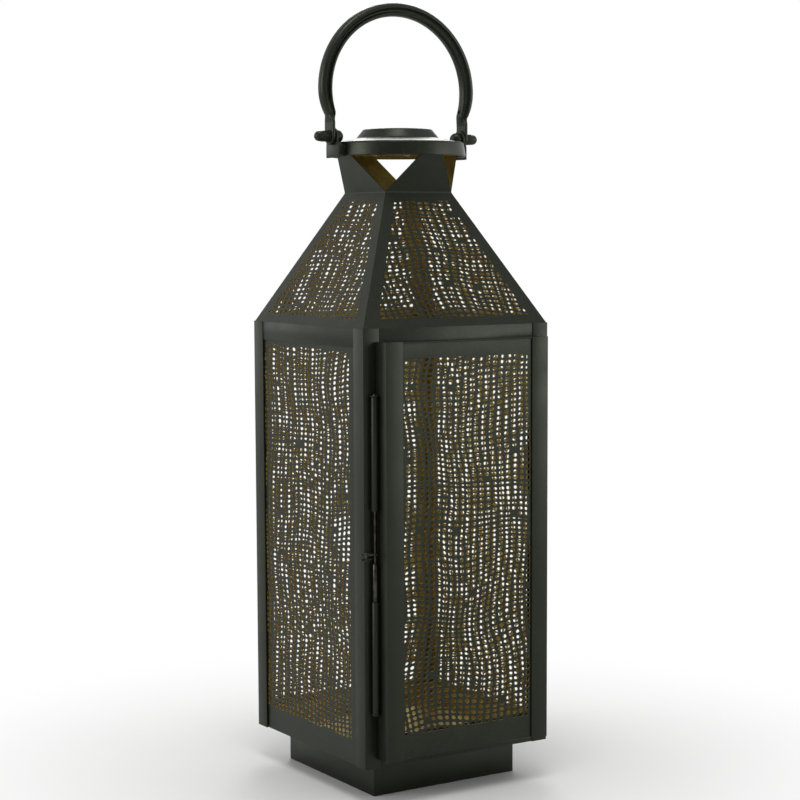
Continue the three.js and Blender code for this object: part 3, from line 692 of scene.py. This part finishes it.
def make_roof_sheets():
    """Each is a pyramid face that bends outwards at its top into a plain tab and its upright lip."""
    levels = {}
    for vertex in frame["nodes"]["roof_sheet_front"].data.vertices:
        x, y, z = (round(c, 6) for c in vertex.co)
        if x > 0:
            levels.setdefault(round(z, 5), []).append((-y, x, z))
    # (reach, half width, height), from the foot up
    rows = [max(group) for _, group in sorted(levels.items())]
    foot, lip_top = rows[0], rows[-1]
    # The tab narrows from the waist to its upright lip.
    wide_rows = [row for row in rows[1:-1] if row[1] > lip_top[1] + 5 * MM]
    narrow_rows = [row for row in rows[1:-1] if row[1] < lip_top[1] + 1 * MM]
    waist = max(wide_rows, key=lambda row: row[0])
    tab_top = max(narrow_rows, key=lambda row: (row[0], -row[2]))
    path = [(row[0], row[2]) for row in (foot, waist, tab_top, lip_top)]
    bend = Bend(path, ROOF_BEND)
    lengths = [0.0]
    for a, b in zip(path, path[1:]):
        lengths.append(lengths[-1] + (Vector(b) - Vector(a)).length)
    scale = bend.length / lengths[-1]
    halves = [row[1] + HIP_LAP for row in (foot, waist)] + [tab_top[1], lip_top[1]]
    width = Width([(a * scale, h) for a, h in zip(lengths, halves)], mitre_end=lengths[1] * scale)
    bottom = ROOF_ZONE_BOTTOM
    top = lengths[1] * scale - ROOF_ZONE_TOP
    limits = zone(bottom, top, width(bottom) - ROOF_ZONE_SIDES[0], width(top) - ROOF_ZONE_SIDES[1])
    for quarter, name in enumerate(("front", "right", "rear", "left")):
        weave = Weave(ROOF_SEED + quarter, 2 * foot[1], bend.length)
        holes = trimmed(weave.holes(), -foot[1], limits)
        punched_sheet("roof_sheet_" + name, bend, width, holes, quarter, level_foot=True)


# ---------------------------------------------------------------- plain sheet pieces

LEG_SKIN = 1.5 * MM  # a leg's inner face lies within this of its outer one, the leg's end does not


def towards_axis(centre, normal):
    """Whether a face looks at the lantern's middle line."""
    return normal.x * centre.x + normal.y * centre.y < -0.35 * math.hypot(centre.x, centre.y)


def make_frame_pieces():
    leg_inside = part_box("corner_angle_rear_right")[1].x - LEG_SKIN

    def faces_in(centre, normal, axis):
        return normal[axis] * centre[axis] < -0.5 * abs(centre[axis])

    def angle_inside(centre, normal):
        return any(faces_in(centre, normal, axis) and abs(centre[axis]) > leg_inside for axis in (0, 1))

    for corner in ("front_left", "front_right", "rear_left", "rear_right"):
        rounded_copy("corner_angle_" + corner, 0.45 * MM, 3, gilt=angle_inside)
    for node in ("top_band_left", "top_band_right", "top_band_rear", "door_header", "door_sill"):
        rounded_copy(node, 0.25 * MM, 2, gilt=towards_axis)
    rounded_copy("floor_tray", 0.35 * MM, 2, gilt=lambda c, n: n.z > 0.5 or towards_axis(c, n))
    rounded_copy("plinth", 0.9 * MM, 3)

    door_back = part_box("door_stile_free_side")[1].y
    sheet_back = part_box("door_sheet")[0].y + SHEET

    def door_inside(centre, normal):
        lining = normal.y > 0.5 and centre.y < door_back - 0.5 * MM
        return lining or (faces_in(centre, normal, 0) and centre.y > sheet_back)

    for side in ("hinge", "free"):
        rounded_copy(f"door_stile_{side}_side", 0.35 * MM, 3, gilt=door_inside)


# ---------------------------------------------------------------- cap

CAP_RIM = 10.6 * MM  # height of the upright rim
CAP_FLARE = 1.2 * MM  # how much it widens downwards
CAP_SHEET = 0.8 * MM
CAP_BEAD = 0.6 * MM  # radius of the rim's rolled edge
CAP_SHOULDER = 1.7 * MM  # and of the rim's upper bend
CAP_CONE = 3 * MM  # rise of the cone from the rim to the crown
CROWN_IN = 19.7 * MM  # from the rim to the crown's foot
CROWN_LEAN = 4.6 * MM
CROWN_BEND = 2.6 * MM
PANEL_LAP = 1.1 * MM


def turned(name, profile, slots, segments=128):
    """A closed (radius, height) profile turned about Z; slots gives each profile segment's material."""
    count = len(profile)
    vertices = []
    for i in range(segments):
        turn = 2 * math.pi * i / segments
        vertices += [(r * math.cos(turn), r * math.sin(turn), z) for r, z in profile]
    faces = []
    face_slots = []
    for i in range(segments):
        j = (i + 1) % segments
        for k in range(count):
            m = (k + 1) % count
            faces.append((i * count + k, j * count + k, j * count + m, i * count + m))
            face_slots.append(slots[k])
    return new_object(name, vertices, faces, face_slots)


def arc(centre, radius, start, end, steps):
    for i in range(steps + 1):
        angle = math.radians(start + (end - start) * i / steps)
        yield centre[0] + radius * math.cos(angle), centre[1] + radius * math.sin(angle)


def make_cap():
    low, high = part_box("cap")
    radius, bottom, top = high.x, low.z, high.z
    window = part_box("solar_panel")[1].x - PANEL_LAP
    shoulder = bottom + CAP_RIM
    rim_top = radius - CAP_FLARE
    crown_foot = (radius - CROWN_IN, shoulder + CAP_CONE)
    crown_top = crown_foot[0] - CROWN_LEAN
    # The rolled edge, the shoulder, the cone, the crown's hollow foot and its top bend.
    outer = [*arc((radius - CAP_BEAD, bottom + CAP_BEAD), CAP_BEAD, -150, 10, 6)]
    outer += arc((rim_top - CAP_SHOULDER, shoulder - CAP_SHOULDER), CAP_SHOULDER, 6, 82, 7)
    outer += [(crown_foot[0] + 1.6 * MM, crown_foot[1] - 0.2 * MM), crown_foot]
    outer += [(crown_foot[0] - 0.8 * MM, crown_foot[1] + 0.9 * MM)]
    outer += arc((crown_top - 2.2 * MM, top - CROWN_BEND), CROWN_BEND, 35, 90, 6)
    outer += [(window, top)]
    inner = [
        (window, top - CAP_SHEET),
        (crown_top - 2.6 * MM, top - CAP_SHEET),
        (crown_foot[0] - 1.6 * MM, crown_foot[1] - 0.1 * MM),
        (rim_top - 2.2 * MM, shoulder - 0.8 * MM),
        (rim_top - CAP_SHEET, shoulder - 2.2 * MM),
        (radius - CAP_SHEET, bottom + 1.1 * MM),
    ]
    slots = [0] * (len(outer) - 1) + [1] * (len(inner) + 1)
    piece = turned("cap_fine", outer + inner, slots)
    finish_piece(piece, "cap", [PAINT, GOLD], sharp=50)


# ---------------------------------------------------------------- bail

TUBE_WIDE = 5 * MM  # half the rolled section, in the arch's plane
TUBE_DEEP = 4.9 * MM  # and across it
GROOVE = 2.8 * MM
GROOVE_HALF = 1.5 * MM
GROOVE_IN = 0.7 * MM  # the groove lies a little towards the arch's inside
BAIL_DROP = 50 * MM  # the arch's upright radius below its widest point
BAIL_END = math.radians(21)
BAIL_WIDEST_UP = 34.5 * MM  # from the pivots up to the arch's widest place
SECTION_SIDES = 48
FOOT_PLAY = 0.3 * MM  # clearance each side of the foot
FOOT_BLEND = 7 * MM
END_WIDE = 3.6 * MM  # half the tube's width where it is pressed towards the foot
SQUASH_ANGLE = math.radians(22)
ARCH_STEPS = 96
PIVOT_BORE = 2.4 * MM
ARM_HOLE, ARM_HOLE_UP = 1.4 * MM, 20.5 * MM  # a small hole low on the right arm, above the pivot
ARM_HOLE_SPAN = 46 * MM, 58 * MM


def bail_section(across, deep, flat):
    """A rolled section with a groove along its front (-y), blended by flat into a plain plate."""
    points = []
    squareness = 0.8 - 0.35 * flat
    for i in range(SECTION_SIDES):
        angle = 2 * math.pi * (i + 0.5) / SECTION_SIDES
        c, s = math.cos(angle), math.sin(angle)
        x = across * math.copysign(abs(c) ** squareness, c)
        y = deep * math.copysign(abs(s) ** squareness, s)
        if s < 0:
            y += GROOVE * math.exp(-(((x + GROOVE_IN) / GROOVE_HALF) ** 4)) * (1 - flat)
        points.append((x, y))
    return points


def make_bail():
    low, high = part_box("bail_handle")
    pivot_z = pivot("bail_swing").z
    foot_half = pivot_z - low.z
    foot_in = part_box("handle_bracket_right")[1].x + FOOT_PLAY
    foot_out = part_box("pivot_washer_right")[0].x - FOOT_PLAY
    foot_x, plate_half = (foot_in + foot_out) / 2, (foot_out - foot_in) / 2
    half_width = high.x - TUBE_WIDE
    centre_z = pivot_z + BAIL_WIDEST_UP
    rise = high.z - TUBE_WIDE - centre_z

    def middle(angle):
        height = (BAIL_DROP if math.sin(angle) < 0 else rise) * math.sin(angle)
        return Vector((half_width * math.cos(angle), 0, centre_z + height))

    rings = []

    def ring(point, direction, across, deep, flat):
        side = Vector((direction.z, 0, -direction.x))
        rings.append([point + side * x + Vector((0, y, 0)) for x, y in bail_section(across, deep, flat)])

    # The right foot, from its rounded end up to the tube's end.
    end = middle(-BAIL_END)
    up = Vector((0, 0, 1))
    heading = (middle(0.01 - BAIL_END) - end).normalized()
    foot = []
    for i in range(9):
        angle = math.radians(-88 + 88 * i / 8)
        foot.append((Vector((foot_x, 0, pivot_z + foot_half * math.sin(angle))), up, plate_half,
                     foot_half * math.cos(angle), 1.0))
    for i in range(11):
        t = i / 11
        ease = t * t * (3 - 2 * t)
        place = Vector((foot_x + (end.x - foot_x) * ease, 0, end.z + (t - 1) * FOOT_BLEND))
        foot.append((place, up.lerp(heading, ease), plate_half + (END_WIDE - plate_half) * ease,
                     foot_half + (TUBE_DEEP - foot_half) * ease, 1 - ease))
    for place, direction, across, deep, flat in foot:
        ring(place, direction, across, deep, flat)
    for i in range(ARCH_STEPS + 1):
        angle = -BAIL_END + (math.pi + 2 * BAIL_END) * i / ARCH_STEPS
        direction = (middle(angle + 0.01) - middle(angle - 0.01)).normalized()
        squash = max(0.0, 1 - min(angle + BAIL_END, math.pi + BAIL_END - angle) / SQUASH_ANGLE) ** 2
        ring(middle(angle), direction, TUBE_WIDE - (TUBE_WIDE - END_WIDE) * squash, TUBE_DEEP, 0.0)
    for place, direction, across, deep, flat in reversed(foot):
        ring(Vector((-place.x, 0, place.z)), Vector((direction.x, 0, -direction.z)), across, deep, flat)
    sides = SECTION_SIDES
    vertices = [v for loop in rings for v in loop]
    faces = []
    for i in range(len(rings) - 1):
        for k in range(sides):
            m = (k + 1) % sides
            a, b = i * sides, (i + 1) * sides
            faces.append((a + k, a + m, b + m, b + k))
    faces.append(tuple(reversed(range(sides))))
    faces.append(tuple((len(rings) - 1) * sides + k for k in range(sides)))
    piece = new_object("bail_handle_fine", vertices, faces)
    drill(piece, PIVOT_BORE, -2 * high.x, 2 * high.x, pivot_z)
    drill(piece, ARM_HOLE, *ARM_HOLE_SPAN, pivot_z + ARM_HOLE_UP)
    finish_piece(piece, "bail_handle", [PAINT], sharp=48)


def pivot(joint_name):
    joint = next(j for j in frame["joints"] if j["name"] == joint_name)
    return Vector(joint["pos_m"])


def drill(piece, radius, start, end, z):
    """Cuts a round hole along X from start to end."""
    tool = bmesh.new()
    turn = Matrix.Rotation(math.pi / 2, 4, "Y")
    place = Matrix.Translation(((start + end) / 2, 0, z)) @ turn
    bmesh.ops.create_cone(tool, cap_ends=True, segments=32, radius1=radius, radius2=radius, depth=end - start,
                          matrix=place)
    mesh = bpy.data.meshes.new("drill")
    tool.to_mesh(mesh)
    tool.free()
    cutter = bpy.data.objects.new("drill", mesh)
    bpy.context.scene.collection.objects.link(cutter)
    cut = piece.modifiers.new("drill", "BOOLEAN")
    cut.operation = "DIFFERENCE"
    cut.solver = "EXACT"
    cut.object = cutter
    apply_modifiers(piece)
    bpy.data.objects.remove(cutter)


# ---------------------------------------------------------------- small hardware


def make_hardware():
    for side in ("left", "right"):
        rounded_copy("handle_bracket_" + side, 0.3 * MM, 3)
        rounded_copy("pivot_bolt_" + side, 0.25 * MM, 2)
        rounded_copy("pivot_washer_" + side, 0.15 * MM, 2)
        rounded_copy("acorn_nut_" + side, 0.25 * MM, 3)
    for place in ("upper", "lower"):
        rounded_copy("hinge_tube_" + place, 0.2 * MM, 2)
        rounded_copy("hinge_plate_" + place, 0.2 * MM, 2)
    rounded_copy("hinge_pin", 0.25 * MM, 2)
    rounded_copy("hinge_spacer", 0.2 * MM, 2)
    rounded_copy("hinge_eye", 0.1 * MM, 2)
    rounded_copy("door_magnet", 0.25 * MM, 3)


def make_light_unit():
    small = ["battery_hatch", "switch_slider", "switch_body", "circuit_board", "battery_contact_positive"]
    for node in small:
        rounded_copy(node, 0.2 * MM, 2)
    for node in ("light_unit_housing", "solar_panel", "led_lens", "led", "battery", "battery_spring"):
        rounded_copy(node, 0.3 * MM, 2)
    for number in (1, 2, 3):
        rounded_copy(f"light_unit_screw_{number}", 0.12 * MM, 2)
        rounded_copy(f"cap_boss_{number}", 0.15 * MM, 2)
    rounded_copy("battery_hatch_screw", 0.12 * MM, 2)


# ---------------------------------------------------------------- stage and light

FLOOR_RADIUS = 14
FLOOR_FADE = 0.08, 0.45  # distances over which the floor runs into the white wall
FLOOR_LIT = (0.62, 0.62, 0.61)  # the floor as the lantern sees it
WALL_FADE = 0.2, 1.0  # how far a direction points at the camera's side, as the light starts and ends to fade
WALL_LIGHT = 0.9, 0.2
HEIGHT_FADE = 0.05, 0.4  # a direction's rise, over which the light falls off upwards
HEIGHT_LIGHT = 1.3, 0.6
LIGHTS = {  # place, diameter and power
    "key": ((-2.7, 0.5, 1.0), 1.6, 19),
    "fill": ((2.3, -1.9, 0.4), 2.2, 19),
    "back": ((1.5, 2.3, 1.9), 1.3, 24),
    "top": ((-0.45, -0.7, 2.9), 1.2, 22),
}
LIGHTS_AIM = Vector((0, 0, 0.28))


def faded(tree, value, span, results, smooth=True):
    """An output that runs from results[0] to results[1] as value runs over span."""
    node = tree.nodes.new("ShaderNodeMapRange")
    if smooth:
        node.interpolation_type = "SMOOTHSTEP"
    for socket, number in zip(("From Min", "From Max", "To Min", "To Max"), (*span, *results)):
        node.inputs[socket].default_value = number
    tree.links.new(value, node.inputs["Value"])
    return node.outputs["Result"]


def pale_floor():
    """To the camera a pale floor that turns white with no edge; to the lantern a plain grey one."""
    shade = Shade("pale_floor", (0.86, 0.86, 0.85), 0.7, specular=0.2)
    shade.color(shade.ramp(shade.noise(6, 3), (0.3, (0.85, 0.85, 0.845)), (0.7, (0.87, 0.87, 0.865))))
    far = shade.tree.nodes.new("ShaderNodeVectorMath")
    far.operation = "LENGTH"
    shade.link(shade.place, far.inputs[0])
    white = shade.tree.nodes.new("ShaderNodeEmission")
    seen = shade.tree.nodes.new("ShaderNodeMixShader")
    shade.link(faded(shade.tree, far.outputs["Value"], FLOOR_FADE, (0, 1)), seen.inputs[0])
    shade.link(shade.shader.outputs[0], seen.inputs[1])
    shade.link(white.outputs[0], seen.inputs[2])
    lit = shade.tree.nodes.new("ShaderNodeBsdfDiffuse")
    lit.inputs["Color"].default_value = (*FLOOR_LIT, 1)
    choose = shade.tree.nodes.new("ShaderNodeMixShader")
    shade.link(shade.tree.nodes.new("ShaderNodeLightPath").outputs["Is Camera Ray"], choose.inputs[0])
    shade.link(lit.outputs[0], choose.inputs[1])
    shade.link(seen.outputs[0], choose.inputs[2])
    shade.link(choose.outputs[0], shade.tree.nodes["Material Output"].inputs["Surface"])
    return shade.material


def make_stage():
    bpy.ops.mesh.primitive_circle_add(vertices=96, radius=FLOOR_RADIUS, fill_type="NGON", location=(0, 0, 0))
    floor = bpy.context.object
    floor.name = "floor"
    floor.data.materials.append(pale_floor())
    floor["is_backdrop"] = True


def make_world():
    """White walls to the eye. The light they give is strongest along the horizon and fades towards the
    camera's side of the room."""
    world = bpy.data.worlds.new("studio")
    world.use_nodes = True
    tree = world.node_tree
    background = tree.nodes["Background"]
    direction = tree.nodes.new("ShaderNodeTexCoord").outputs["Generated"]
    toward = tree.nodes.new("ShaderNodeVectorMath")
    toward.operation = "DOT_PRODUCT"
    tree.links.new(direction, toward.inputs[0])
    toward.inputs[1].default_value = (math.sin(CAMERA_AZIMUTH), -math.cos(CAMERA_AZIMUTH), 0)
    heights = tree.nodes.new("ShaderNodeSeparateXYZ")
    tree.links.new(direction, heights.inputs[0])
    given = tree.nodes.new("ShaderNodeMath")
    given.operation = "MULTIPLY"
    tree.links.new(faded(tree, toward.outputs["Value"], WALL_FADE, WALL_LIGHT), given.inputs[0])
    by_height = faded(tree, heights.outputs["Z"], HEIGHT_FADE, HEIGHT_LIGHT, smooth=False)
    tree.links.new(by_height, given.inputs[1])
    seen = tree.nodes.new("ShaderNodeMix")
    tree.links.new(tree.nodes.new("ShaderNodeLightPath").outputs["Is Camera Ray"], seen.inputs["Factor"])
    tree.links.new(given.outputs["Value"], seen.inputs["A"])
    seen.inputs["B"].default_value = 1.0
    tree.links.new(seen.outputs["Result"], background.inputs["Strength"])
    background.inputs["Color"].default_value = (1, 1, 1, 1)
    bpy.context.scene.world = world


def make_lights():
    for name, (place, diameter, power) in LIGHTS.items():
        data = bpy.data.lights.new(name, "AREA")
        data.shape = "DISK"
        data.size = diameter
        data.energy = power
        light = bpy.data.objects.new(name, data)
        light.location = place
        light.rotation_euler = (LIGHTS_AIM - Vector(place)).to_track_quat("-Z", "Y").to_euler()
        bpy.context.scene.collection.objects.link(light)
    view = bpy.context.scene.view_settings
    view.view_transform = "Standard"
    view.look = "None"


make_camera()
make_side_sheets()
make_door_sheet()
make_roof_sheets()
make_frame_pieces()
make_cap()
make_bail()
make_hardware()
make_light_unit()
make_stage()
make_world()
make_lights()

plain = lambda bounds: [[round(c, 6) for c in corner] for corner in bounds]
{"cad": plain(CAD_BOX), "visual": plain(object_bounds())}
